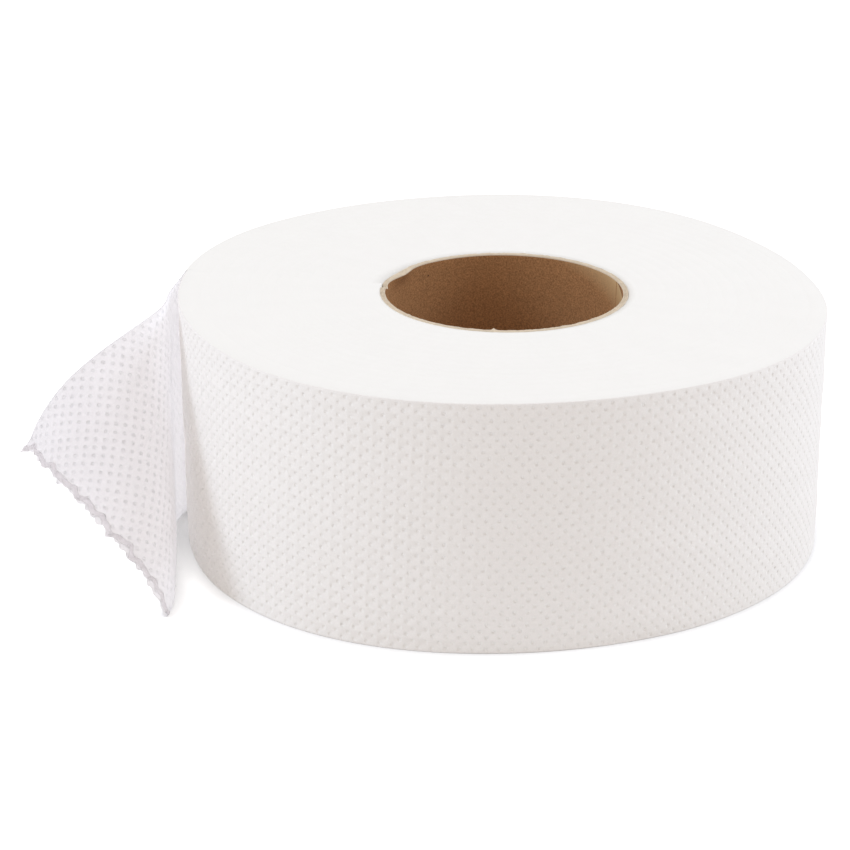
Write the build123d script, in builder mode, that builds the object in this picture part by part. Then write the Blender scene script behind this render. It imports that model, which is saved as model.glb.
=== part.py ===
from build123d import *
import os
from math import atan2, cos, degrees, sin

# Jumbo toilet paper roll: one long two-ply paper web wound on a cardboard tube, standing on its end,
# with the torn loose end of the web hanging off its side.
# Frame in millimetres: the origin is the centre of the tube's bore on the floor, +Z runs up the bore,
# and the loose end leaves the roll at -X and runs towards -Y.

os.makedirs("parts", exist_ok=True)

# Driving dimensions
roll_diameter = 228.6        # over the wound paper
web_width = 88.9             # width of the paper, which is the height of the standing roll
bore_diameter = 83.8         # inside of the cardboard tube
tube_wall = 1.8              # four plies of board
web_thickness = 0.6          # loose two-ply paper over its embossed bumps

# Wound turns on the two ends
turn_spacing = 14.5          # one groove stands for a band of the fine turns
first_turn = 5.0             # from the tube to the start of the spiral
last_turn = 4.0              # least distance from the end of the spiral to the outside
groove_width = 0.7
groove_depth = 0.3

# Loose end
free_lower_edge = 86.0       # from where the paper leaves the roll to the tear, along the floor
free_upper_edge = 93.0       # the same along the upper edge
curl_start = 73.5            # where the fold line of the curl meets the floor
curl_arcs = [(10.0, 60.0), (24.0, 18.0), (60.0, 33.0)]    # length and radius of each stretch
curl_stations = 4            # sections of the loft on each side of the lower corner
torn_tip = 3.0               # length of the tear left at the outermost corner
tear_bites = [(0.10, 1.4), (0.21, 1.9), (0.33, 1.3), (0.44, 2.3), (0.55, 1.5), (0.66, 2.0), (0.78, 1.4),
              (0.89, 1.9)]

# Derived sizes
roll_radius = roll_diameter / 2
tube_radius = bore_diameter / 2 + tube_wall
curl_lean = atan2(curl_start, web_width)      # of the fold line, from upright
lean_sin = sin(curl_lean)
lean_cos = cos(curl_lean)
tear_slope = (free_upper_edge - free_lower_edge) / web_width
corner_reach = (free_lower_edge - curl_start) * lean_cos


def half_groove(centre_x, radius, side, end_z, into):
    """Cuts half a turn of the spiral groove into one end face.

    It goes round a centre on the X axis, anticlockwise from the +X side or the -X side of it.
    """
    with BuildSketch(Plane.XZ) as section:
        with Locations((centre_x + side * radius, end_z)):
            Polygon((-groove_width / 2, 0), (groove_width / 2, 0), (0, into * groove_depth), align=None)
    revolve(section.sketch, axis=Axis((centre_x, 0, 0), (0, 0, 1)), revolution_arc=180, mode=Mode.SUBTRACT)


def cut_spiral(end_z, into):
    """Cuts the spiral of turns into one end, as half circles about two centres half a spacing apart."""
    radius = tube_radius + first_turn
    while radius + turn_spacing < roll_radius - last_turn:
        half_groove(0, radius, 1, end_z, into)
        half_groove(turn_spacing / 2, radius + turn_spacing / 2, -1, end_z, into)
        radius += turn_spacing


def curl_at(reach):
    """How far the paper has gone along and out of its flat plane, and its bend, past the fold line."""
    along, out, bend = 0.0, 0.0, 0.0
    for length, radius in curl_arcs:
        step = min(reach, length)
        turn = step / radius
        along += radius * (sin(bend + turn) - sin(bend))
        out += radius * (cos(bend) - cos(bend + turn))
        bend += turn
        reach -= step
    return along, out, bend


def paper_plane(reach, rise, across=False):
    """A plane on the middle of the curled paper, at a reach past the fold line and a rise along it.

    It cuts through the paper along the fold's direction, or lies in the paper where across is set.
    """
    along, out, bend = curl_at(reach)
    fold = Vector(0, lean_sin, lean_cos)
    flat = Vector(0, -lean_cos, lean_sin)
    outward = Vector(-1, 0, 0)
    foot = Vector(-roll_radius + web_thickness / 2, -curl_start, 0)
    origin = foot + fold * rise + flat * along + outward * out
    travel = flat * cos(bend) + outward * sin(bend)
    facing = outward * cos(bend) - flat * sin(bend)
    return Plane(origin=origin, x_dir=fold, z_dir=facing if across else travel)


def rise_ends(reach):
    """The lower and upper end of the paper along the fold's direction, at a reach past the fold line."""
    upper = (web_width - reach * lean_sin) / lean_cos
    if reach <= corner_reach:
        return -reach * lean_sin / lean_cos, upper
    gap = (reach - corner_reach) * (lean_cos - tear_slope * lean_sin) / (lean_sin + tear_slope * lean_cos)
    return -corner_reach * lean_sin / lean_cos + gap, upper


def loft_curl(first, last):
    """Lofts the curled paper between two reaches past the fold line."""
    sections = []
    for station in range(curl_stations + 1):
        reach = first + (last - first) * station / curl_stations
        lower, upper = rise_ends(reach)
        with BuildSketch(paper_plane(reach, (lower + upper) / 2)) as section:
            Rectangle(upper - lower, web_thickness)
        sections.append(section.sketch)
    loft(sections)


def tip_reach():
    """The reach past the fold line at which only the torn tip of the paper is left."""
    lower, upper = rise_ends(corner_reach)
    far_lower, far_upper = rise_ends(corner_reach + 1)
    closing = (upper - lower) - (far_upper - far_lower)
    return corner_reach + (upper - lower - torn_tip) / closing


def bite_tear(fraction, radius):
    """Cuts one ragged bite out of the torn edge, at a fraction of the way up the web."""
    across = fraction * web_width
    past_fold = free_lower_edge + tear_slope * across - curl_start
    reach = past_fold * lean_cos + across * lean_sin
    rise = across * lean_cos - past_fold * lean_sin
    with BuildSketch(paper_plane(reach, rise, across=True)) as bite:
        Circle(radius)
    extrude(bite.sketch, amount=2 * web_thickness, both=True, mode=Mode.SUBTRACT)


# Wound paper: its outside is two half circles a quarter of a sheet off centre, so that
# the last turn ends in a step one sheet thick, where the loose end leaves the roll
with BuildPart() as paper_roll:
    with BuildSketch():
        with BuildLine():
            back = CenterArc((-web_thickness / 4, 0), roll_radius - web_thickness / 4, 0, 180)
            front = CenterArc((web_thickness / 4, 0), roll_radius - 3 * web_thickness / 4, 180, 180)
            Line(back @ 1, front @ 0)
        make_face()
        Circle(tube_radius, mode=Mode.SUBTRACT)
    extrude(amount=web_width)
    cut_spiral(web_width, -1)
    cut_spiral(0, 1)

    # Flat part of the loose end, from the step to the fold line of the curl
    with BuildSketch(Plane.YZ.offset(-roll_radius)):
        Polygon((0, 0), (0, web_width), (-curl_start, 0), align=None)
    extrude(amount=web_thickness)

    # Curled part, down to the tear
    loft_curl(0, corner_reach)
    loft_curl(corner_reach, tip_reach())
    for fraction, radius in tear_bites:
        bite_tear(fraction, radius)
    split(bisect_by=Plane.XY, keep=Keep.TOP)
    split(bisect_by=Plane.XY.offset(web_width), keep=Keep.BOTTOM)
paper_roll.part.label = "paper_roll"

# Cardboard tube, slit flush with the paper
with BuildPart() as cardboard_core:
    with BuildSketch():
        Circle(tube_radius)
        Circle(bore_diameter / 2, mode=Mode.SUBTRACT)
    extrude(amount=web_width)
cardboard_core.part.label = "cardboard_core"

export_step(paper_roll.part, "parts/paper_roll.step")
export_step(cardboard_core.part, "parts/cardboard_core.step")

print("curl leans", round(degrees(curl_lean), 1), "degrees; bend at the tip",
      round(degrees(curl_at(tip_reach())[2]), 1), "degrees")
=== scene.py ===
import math

import bpy
import mathutils
import numpy as np
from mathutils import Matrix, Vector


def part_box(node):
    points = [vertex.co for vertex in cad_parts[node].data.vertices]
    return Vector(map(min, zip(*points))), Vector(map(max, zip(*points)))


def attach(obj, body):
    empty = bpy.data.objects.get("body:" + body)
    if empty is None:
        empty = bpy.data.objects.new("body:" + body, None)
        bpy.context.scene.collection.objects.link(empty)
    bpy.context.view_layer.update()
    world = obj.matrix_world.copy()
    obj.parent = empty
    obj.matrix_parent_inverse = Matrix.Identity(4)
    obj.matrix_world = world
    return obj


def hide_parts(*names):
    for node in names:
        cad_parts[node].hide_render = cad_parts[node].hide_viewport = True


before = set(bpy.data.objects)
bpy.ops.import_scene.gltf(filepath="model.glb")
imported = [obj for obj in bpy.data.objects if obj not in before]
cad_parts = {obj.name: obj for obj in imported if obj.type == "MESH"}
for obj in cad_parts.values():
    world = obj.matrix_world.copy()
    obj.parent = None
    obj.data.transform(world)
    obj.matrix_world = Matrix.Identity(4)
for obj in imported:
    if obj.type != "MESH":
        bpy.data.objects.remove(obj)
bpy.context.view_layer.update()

bl_info = {
    "name": "Jumbo toilet paper roll",
    "version": (1, 0, 0),
    "blender": (4, 5, 0),
    "location": "View3D > Sidebar > Paper roll",
    "description": "Embossed paper roll on its cardboard tube, with a torn loose end, in a white studio",
    "category": "Add Mesh",
}

MM = 0.001
LINE_STEP = 0.1 * MM
RIPPLE_SEED = 21
PAPER_SLOT, END_SLOT = 0, 1
WALL_SLOT, RIM_SLOT = 0, 1
SPECK_COLOUR = (0.16, 0.13, 0.11, 1.0)

# The camera, fitted to the rims, the floor outline and the hole
CAMERA_PLACE = (-0.02633, -1.18035, 0.49512)
CAMERA_DOWN, CAMERA_ROLL = 21.173, 0.125
FOCAL_PIXELS, PICTURE_PIXELS = 3522.3, 850.0
TUBE_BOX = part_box("cardboard_core")

# How far the wound roll is from a true cylinder, in mm: cosine and sine shares of one to four
# waves round it, at its top and bottom rim, and of one and two waves in the height of the top rim
TOP_RIM_WAVES = [(0.05, -0.74), (0.49, -0.15), (0.11, -0.82), (-0.46, -1.34)]
BOTTOM_RIM_WAVES = [(0.16, 0.15), (-0.06, 0.76), (1.13, -0.12), (-0.68, -0.44)]
RIM_HEIGHT_WAVES = [(-0.48, 0.09), (-0.22, -0.05)]

# Headings of the loose end seen from above, in degrees out from straight ahead, at distances in mm
# past the line where it leaves the roll
HEADING_AT = [0, 18, 32, 78, 90, 130]
HEADINGS = [11.64, 11.64, -4.02, -4.02, 0.52, 0.52]

# Bend of the curl, in radians per mm, at distances in mm past its fold line, with the torn tip bent back
CURL_AT = [0, 15, 32, 50, 75, 87, 89, 120]
CURL_BENDS = [0.0, 0.0009, 0.0549, 0.0375, 0.0372, 0.0372, -0.13, -0.13]


# Settings

def length_property(name, description, default, min, max, precision=4):
    return bpy.props.FloatProperty(name=name, description=description, default=default, min=min, max=max,
                                   unit="LENGTH", subtype="DISTANCE", precision=precision)


class WoundPaperSettings(bpy.types.PropertyGroup):
    outer_radius: length_property(
        "Outer radius", "Radius over the last turn",
        default=0.1143, min=0.06, max=0.2)
    web_width: length_property(
        "Web width", "Width of the paper, which is the roll's height",
        default=round(TUBE_BOX[1].z, 4), min=0.05, max=0.3)
    tube_radius: length_property(
        "Tube radius", "Radius of the hole in the paper, over the tube",
        default=round(TUBE_BOX[1].x, 4), min=0.01, max=0.1)
    web_step: length_property(
        "Web step", "How much the last turn adds to the radius, two plies and their air",
        default=0.00036, min=0.0001, max=0.002, precision=5)
    dot_columns: bpy.props.IntProperty(
        name="Dot columns", description="Cells of the embossing round the roll", default=160, min=20, max=170)
    dot_rows: bpy.props.IntProperty(
        name="Dot rows", description="Cells of the embossing up the roll", default=20, min=4, max=21)
    dot_radius: length_property(
        "Dot radius", "Radius of one embossed dot",
        default=0.00078, min=0.0002, max=0.002, precision=5)
    dot_depth: length_property(
        "Dot depth", "Depth of one embossed dot",
        default=0.0003, min=0.0, max=0.001, precision=5)
    depth_variation: bpy.props.FloatProperty(
        name="Depth variation", description="Share by which the dots' depth differs", default=0.35,
        min=0.0, max=1.0, subtype="FACTOR")
    lattice_lean: bpy.props.FloatProperty(
        name="Lattice lean", description="How far the columns of dots lean from upright", default=0.044,
        min=-0.3, max=0.3, unit="ROTATION", subtype="ANGLE")
    edge_rounding: length_property(
        "Edge rounding", "Rounding of the slit edges of the outer turn",
        default=0.0004, min=0.0001, max=0.003, precision=5)
    turns_shown: bpy.props.IntProperty(
        name="Turns shown", description="Bands of turns that each end shows", default=12, min=2, max=14)
    groove_depth: length_property(
        "Groove depth", "Depth of the grooves between bands of turns",
        default=0.00002, min=0.0, max=0.001, precision=5)
    paper_colour: bpy.props.FloatVectorProperty(
        name="Paper colour", description="Colour of the tissue", default=(0.885, 0.862, 0.826),
        min=0.0, max=1.0, size=3, subtype="COLOR")
    # End colour is the slit ends' own tone, set a little darker than the side's partly as painted shade, so
    # that the brightly lit top doesn't go too pale
    end_colour: bpy.props.FloatVectorProperty(
        name="End colour", description="Colour of the slit ends", default=(0.869, 0.860, 0.818),
        min=0.0, max=1.0, size=3, subtype="COLOR")
    seed: bpy.props.IntProperty(
        name="Seed", description="Seed of the differences between the dots", default=11, min=0)


class LooseEndSettings(bpy.types.PropertyGroup):
    leaving_angle: bpy.props.FloatProperty(
        name="Leaving angle", description="Where round the roll the web leaves it, from +X",
        default=math.radians(168.36), min=0.0, max=2 * math.pi, unit="ROTATION", subtype="ANGLE")
    lower_length: length_property(
        "Lower length", "From leaving the roll to the tear, along the lower edge",
        default=0.1079, min=0.02, max=0.3)
    upper_length: length_property(
        "Upper length", "From leaving the roll to the tear, along the upper edge",
        default=0.1158, min=0.02, max=0.3)
    fold_start: length_property(
        "Fold start", "Where the fold line of the curl meets the lower edge",
        default=0.0702, min=0.0, max=0.3)
    fold_lean: bpy.props.FloatProperty(
        name="Fold lean", description="How far the fold line leans from upright", default=0.6671,
        min=0.0, max=1.5, unit="ROTATION", subtype="ANGLE")
    grid_step: length_property(
        "Grid step", "Distance between the points of the sheet",
        default=0.00055, min=0.0003, max=0.005, precision=5)
    ply_thickness: length_property(
        "Ply thickness", "Thickness of one ply",
        default=0.00011, min=0.00003, max=0.001, precision=5)
    ply_gap: length_property(
        "Ply gap", "How far the second ply stands off at its tear",
        default=0.0003, min=0.0, max=0.002, precision=5)
    parted_length: length_property(
        "Parted length", "How far back from the tear the two plies have parted",
        default=0.0022, min=0.0015, max=0.05)
    see_through: bpy.props.FloatProperty(
        name="See-through", description="Share of the light that each face of the sheet lets through",
        default=0.66, min=0.0, max=1.0, subtype="FACTOR")
    raggedness: length_property(
        "Raggedness", "How far the tear strays from its line",
        default=0.00045, min=0.0, max=0.003, precision=5)
    seed: bpy.props.IntProperty(
        name="Seed", description="Seed of the tear and the soft wrinkles", default=5, min=0)


class TubeSettings(bpy.types.PropertyGroup):
    bore_radius: length_property(
        "Bore radius", "Inside radius of the tube",
        default=0.0419, min=0.01, max=0.1)
    plies: bpy.props.IntProperty(
        name="Plies", description="Plies of board in the wall", default=4, min=1, max=8)
    seam_rise: bpy.props.FloatProperty(
        name="Seam rise", description="How steeply the butt seam of the inner ply climbs",
        default=math.radians(18.5), min=0.05, max=1.5, unit="ROTATION", subtype="ANGLE")
    crush_depth: length_property(
        "Crush depth", "How far the crushed spot leans in at the top rim",
        default=0.0024, min=0.0, max=0.006)
    lean: length_property(
        "Lean", "How far the top of the tube is off centre, towards +X",
        default=0.0016, min=-0.01, max=0.01)
    squash: bpy.props.FloatProperty(
        name="Squash", description="Share by which the top of the tube is narrower along Y", default=0.015,
        min=0.0, max=0.1, subtype="FACTOR")
    board_colour: bpy.props.FloatVectorProperty(
        name="Board colour", description="Colour of the kraft board", default=(0.375, 0.195, 0.085),
        min=0.0, max=1.0, size=3, subtype="COLOR")
    rim_colour: bpy.props.FloatVectorProperty(
        name="Rim colour", description="Colour of the cut edge of the board", default=(0.70, 0.60, 0.46),
        min=0.0, max=1.0, size=3, subtype="COLOR")
    seed: bpy.props.IntProperty(
        name="Seed", description="Seed of the rim's unevenness", default=3, min=0)


class StageSettings(bpy.types.PropertyGroup):
    floor_size: length_property(
        "Floor size", "Width of the white floor",
        default=8.0, min=1.0, max=50.0, precision=2)
    left_power: bpy.props.FloatProperty(
        name="Left lamp", description="Power of the lamp at the left", default=6.0, min=0.0, unit="POWER")
    right_power: bpy.props.FloatProperty(
        name="Right lamp", description="Power of the lamp at the right", default=6.6, min=0.0, unit="POWER")
    lamp_colour: bpy.props.FloatVectorProperty(
        name="Lamp colour", description="Colour of both lamps", default=(0.86, 1.0, 1.19),
        min=0.0, max=2.0, size=3, subtype="COLOR")
    sky_strength: bpy.props.FloatProperty(
        name="Sky strength", description="Strength of the even light from all round", default=0.72,
        min=0.0, max=2.0)
    sky_colour: bpy.props.FloatVectorProperty(
        name="Sky colour", description="Colour of the even light", default=(1.065, 0.99, 0.955),
        min=0.0, max=2.0, size=3, subtype="COLOR")


# Meshes

def build_mesh(name, points, faces, uv, materials, slots=None):
    """A smooth mesh object from points in metres, faces of point numbers and a UV for each point."""
    mesh = bpy.data.meshes.new(name)
    mesh.from_pydata(points.tolist(), [], faces)
    loop_points = np.zeros(len(mesh.loops), np.int32)
    mesh.loops.foreach_get("vertex_index", loop_points)
    layer = mesh.uv_layers.new(name="UVMap")
    layer.data.foreach_set("uv", np.asarray(uv, np.float32)[loop_points].ravel())
    for material in materials:
        mesh.materials.append(material)
    if slots is not None:
        mesh.polygons.foreach_set("material_index", np.asarray(slots, np.int32))
    mesh.polygons.foreach_set("use_smooth", [True] * len(mesh.polygons))
    mesh.update()
    piece = bpy.data.objects.new(name, mesh)
    bpy.context.scene.collection.objects.link(piece)
    return piece


def grid_faces(rows, columns, first=0, flip=False):
    """Quads of a grid of points numbered row by row."""
    row, column = np.meshgrid(np.arange(rows - 1), np.arange(columns - 1), indexing="ij")
    corner = first + (row * columns + column).ravel()
    quads = np.stack([corner, corner + 1, corner + columns + 1, corner + columns], axis=1)
    return (quads[:, ::-1] if flip else quads).tolist()


def soft_waves(rng, across, up, count, shortest, longest):
    """A sum of seeded sine waves of mixed direction and length, about one high."""
    total = np.zeros(np.broadcast(across, up).shape)
    for _ in range(count):
        length = shortest * (longest / shortest) ** rng.random()
        direction = rng.random() * 2 * math.pi
        phase = rng.random() * 2 * math.pi
        along = across * math.cos(direction) + up * math.sin(direction)
        total += np.sin(2 * math.pi * along / length + phase)
    return total / math.sqrt(count)


def waves_round(angle, waves):
    """Out of round in metres, from cosine and sine shares of one wave and more round the roll."""
    total = np.zeros(np.shape(angle))
    for count, (cosine, sine) in enumerate(waves, start=1):
        total = total + cosine * np.cos(count * angle) + sine * np.sin(count * angle)
    return total * MM


def roll_radius(angle, rise):
    """Radius of the wound paper over its last turn, at an angle and a height."""
    wound = bpy.context.scene.wound_paper
    share = np.clip(rise / wound.web_width, 0, 1)
    bent = waves_round(angle, BOTTOM_RIM_WAVES) * (1 - share) + waves_round(angle, TOP_RIM_WAVES) * share
    return wound.outer_radius + bent


def rim_lift(angle, radius, rise):
    """How far the height of a point differs, because the roll's top isn't quite level."""
    wound = bpy.context.scene.wound_paper
    share = np.clip(rise / wound.web_width, 0, 1) * np.clip(radius / wound.outer_radius, 0, 1) ** 2
    return waves_round(angle, RIM_HEIGHT_WAVES) * share


def tube_lean(points, near):
    """Points moved with the tube, which leans to one side and is squashed at its top.

    Near is one for points of the tube and the hole, and falls to nothing at the outer edge.
    """
    scene = bpy.context.scene
    share = np.clip(points[..., 2] / scene.wound_paper.web_width, 0, 1) * near
    moved = np.array(points)
    moved[..., 0] += share * (scene.tube.lean + 0.4 * scene.tube.squash * points[..., 0])
    moved[..., 1] -= share * scene.tube.squash * points[..., 1]
    return moved


# Node trees

def add_node(tree, kind, **values):
    """A new node: names in small letters are its settings, and the others its inputs."""
    node = tree.nodes.new(kind)
    for name, value in values.items():
        if name[0].islower():
            setattr(node, name, value)
    return feed(tree, node, **{name: value for name, value in values.items() if not name[0].islower()})


def feed(tree, node, **inputs):
    """Links or sets inputs by name, with spaces written as underscores."""
    for name, value in inputs.items():
        key = int(name[1:]) if name[0] == "_" else name.replace("_", " ")
        if isinstance(value, bpy.types.NodeSocket):
            tree.links.new(value, node.inputs[key])
        else:
            node.inputs[key].default_value = value
    return node


def new_group(name, kind, inputs, outputs):
    """A node group with named sockets: each input is (name, socket type, default)."""
    tree = bpy.data.node_groups.new(name, kind)
    for label, socket_type, default in inputs:
        socket = tree.interface.new_socket(label, in_out="INPUT", socket_type=socket_type)
        if default is not None:
            socket.default_value = default
    for label, socket_type in outputs:
        tree.interface.new_socket(label, in_out="OUTPUT", socket_type=socket_type)
    return tree, tree.nodes.new("NodeGroupInput"), tree.nodes.new("NodeGroupOutput")


def calculate(tree, operation, first, second=None, clamp=False):
    """The outcome of one sum, whose inputs are sockets or numbers."""
    node = add_node(tree, "ShaderNodeMath", operation=operation, use_clamp=clamp)
    for place, value in enumerate((first, second)):
        if value is not None:
            feed(tree, node, **{"_" + str(place): value})
    return node.outputs[0]


def embossed_web_tree():
    """Geometry nodes: lays cells of dots out into a flat embossed web, each cell with its own depth."""
    tree, start, end = new_group(
        "Embossed web", "GeometryNodeTree",
        [("Cell", "NodeSocketGeometry", None),
         ("Columns", "NodeSocketInt", 163), ("Rows", "NodeSocketInt", 20),
         ("Cell length", "NodeSocketFloat", 0.0044), ("Cell height", "NodeSocketFloat", 0.0044),
         ("Depth variation", "NodeSocketFloat", 0.3), ("Seed", "NodeSocketInt", 0),
         ("Material", "NodeSocketMaterial", None)],
        [("Web", "NodeSocketGeometry")])
    tree.is_modifier = True
    cells = start.outputs
    steps = [calculate(tree, "SUBTRACT", cells[label], 1.0) for label in ("Columns", "Rows")]
    reach = calculate(tree, "MULTIPLY", steps[0], cells["Cell length"])
    climb = calculate(tree, "MULTIPLY", steps[1], cells["Cell height"])
    places = add_node(tree, "GeometryNodeMeshGrid", Size_X=reach, Size_Y=climb,
                      Vertices_X=cells["Columns"], Vertices_Y=cells["Rows"])
    depth = add_node(tree, "FunctionNodeRandomValue", data_type="FLOAT")
    tree.links.new(calculate(tree, "SUBTRACT", 1.0, cells["Depth variation"]), depth.inputs[2])
    tree.links.new(calculate(tree, "ADD", 1.0, cells["Depth variation"]), depth.inputs[3])
    tree.links.new(cells["Seed"], depth.inputs["Seed"])
    stretch = add_node(tree, "ShaderNodeCombineXYZ", X=1.0, Y=1.0, Z=depth.outputs[1])
    laid = add_node(tree, "GeometryNodeInstanceOnPoints", Points=places.outputs["Mesh"],
                    Instance=cells["Cell"], Scale=stretch.outputs[0])
    joined = add_node(tree, "GeometryNodeRealizeInstances", Geometry=laid.outputs[0])
    merged = add_node(tree, "GeometryNodeMergeByDistance", Geometry=joined.outputs[0], Distance=0.00002)
    painted = add_node(tree, "GeometryNodeSetMaterial", Geometry=merged.outputs[0],
                       Material=cells["Material"])
    tree.links.new(painted.outputs[0], end.inputs[0])
    return tree


def grain_group():
    """Shader group: fine fibres laid in a felt, as a height and as a mask of darker and lighter."""
    tree, start, end = new_group(
        "Fibre grain", "ShaderNodeTree",
        [("Vector", "NodeSocketVector", None), ("Fibres per metre", "NodeSocketFloat", 2500.0),
         ("Patches per metre", "NodeSocketFloat", 300.0)],
        [("Height", "NodeSocketFloat"), ("Patches", "NodeSocketFloat")])
    values = start.outputs
    fibres = add_node(tree, "ShaderNodeTexNoise", Vector=values["Vector"],
                      Scale=values["Fibres per metre"], Detail=3.0, Roughness=0.6, Distortion=0.8)
    patches = add_node(tree, "ShaderNodeTexNoise", Vector=values["Vector"],
                       Scale=values["Patches per metre"], Detail=4.0, Roughness=0.55)
    tree.links.new(fibres.outputs[0], end.inputs["Height"])
    tree.links.new(patches.outputs[0], end.inputs["Patches"])
    return tree


def specks_group():
    """Shader group: a few small dark specks, as a mask."""
    tree, start, end = new_group(
        "Specks", "ShaderNodeTree",
        [("Vector", "NodeSocketVector", None), ("Cells per metre", "NodeSocketFloat", 100.0),
         ("Share", "NodeSocketFloat", 0.1), ("Radius", "NodeSocketFloat", 0.0002)],
        [("Mask", "NodeSocketFloat")])
    values = start.outputs
    cells = add_node(tree, "ShaderNodeTexVoronoi", Vector=values["Vector"], Scale=values["Cells per metre"])
    chosen = add_node(tree, "ShaderNodeSeparateColor")
    tree.links.new(cells.outputs["Color"], chosen.inputs[0])
    kept = calculate(tree, "LESS_THAN", chosen.outputs[0], values["Share"])
    size = calculate(tree, "MULTIPLY", values["Radius"], calculate(tree, "ADD", 0.5, chosen.outputs[1]))
    away = calculate(tree, "DIVIDE", cells.outputs["Distance"],
                     calculate(tree, "MULTIPLY", size, values["Cells per metre"]))
    inside = calculate(tree, "SUBTRACT", 1.6, away, clamp=True)
    tree.links.new(calculate(tree, "MULTIPLY", kept, inside), end.inputs["Mask"])
    return tree


def dots_group():
    """Shader group: the embossing as a depth, from the flat web's own coordinates in metres."""
    tree, start, end = new_group(
        "Embossed dots", "ShaderNodeTree",
        [("Along", "NodeSocketFloat", 0.0), ("Up", "NodeSocketFloat", 0.0),
         ("Cell length", "NodeSocketFloat", 0.0044), ("Cell height", "NodeSocketFloat", 0.0044),
         ("Radius", "NodeSocketFloat", 0.0008), ("Variation", "NodeSocketFloat", 0.3)],
        [("Depth", "NodeSocketFloat")])
    values = start.outputs
    across = calculate(tree, "DIVIDE", values["Along"], values["Cell length"])
    upward = calculate(tree, "DIVIDE", values["Up"], values["Cell height"])
    depths = []
    for quarter in (0.25, 0.75):
        offsets, cells = [], []
        for place, size in ((across, values["Cell length"]), (upward, values["Cell height"])):
            moved = calculate(tree, "ADD", place, 0.5 - quarter)
            cells.append(calculate(tree, "FLOOR", moved))
            centred = calculate(tree, "SUBTRACT", calculate(tree, "FRACT", moved), 0.5)
            offsets.append(calculate(tree, "MULTIPLY", centred, size))
        squares = calculate(tree, "ADD", calculate(tree, "MULTIPLY", offsets[0], offsets[0]),
                            calculate(tree, "MULTIPLY", offsets[1], offsets[1]))
        away = calculate(tree, "DIVIDE", calculate(tree, "SQRT", squares), values["Radius"])
        inside = calculate(tree, "SUBTRACT", 1.0, away, clamp=True)
        smooth = add_node(tree, "ShaderNodeMapRange", interpolation_type="SMOOTHSTEP",
                          Value=inside).outputs[0]
        cell = add_node(tree, "ShaderNodeCombineXYZ", X=cells[0], Y=cells[1], Z=quarter)
        noise = add_node(tree, "ShaderNodeTexWhiteNoise", Vector=cell.outputs[0])
        less = calculate(tree, "MULTIPLY", noise.outputs["Value"], values["Variation"])
        depths.append(calculate(tree, "MULTIPLY", smooth, calculate(tree, "SUBTRACT", 1.0, less)))
    tree.links.new(calculate(tree, "ADD", depths[0], depths[1]), end.inputs["Depth"])
    return tree


def shared_group(name, build):
    return bpy.data.node_groups.get(name) or build()


def place_group(tree, name, build, **inputs):
    node = add_node(tree, "ShaderNodeGroup", node_tree=shared_group(name, build))
    return feed(tree, node, **inputs)


def mix_colour(tree, share, first, second):
    node = add_node(tree, "ShaderNodeMix", data_type="RGBA")
    feed(tree, node, _0=share, _6=first, _7=second)
    return node.outputs[2]


def new_material(name, roughness):
    """A material with its Principled shader, and the tree to build on."""
    material = bpy.data.materials.new(name)
    material.use_nodes = True
    tree = material.node_tree
    shader = tree.nodes["Principled BSDF"]
    shader.inputs["Roughness"].default_value = roughness
    shader.inputs["Specular IOR Level"].default_value = 0.15
    return material, tree, shader


def flat_coordinates(tree):
    """Distances in metres along and up the flat sheet, from its UV map."""
    flat = add_node(tree, "ShaderNodeUVMap", uv_map="UVMap").outputs[0]
    return add_node(tree, "ShaderNodeSeparateXYZ", Vector=flat).outputs


def shade(colour, level):
    return tuple(part * level for part in colour) + (1.0,)


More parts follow.
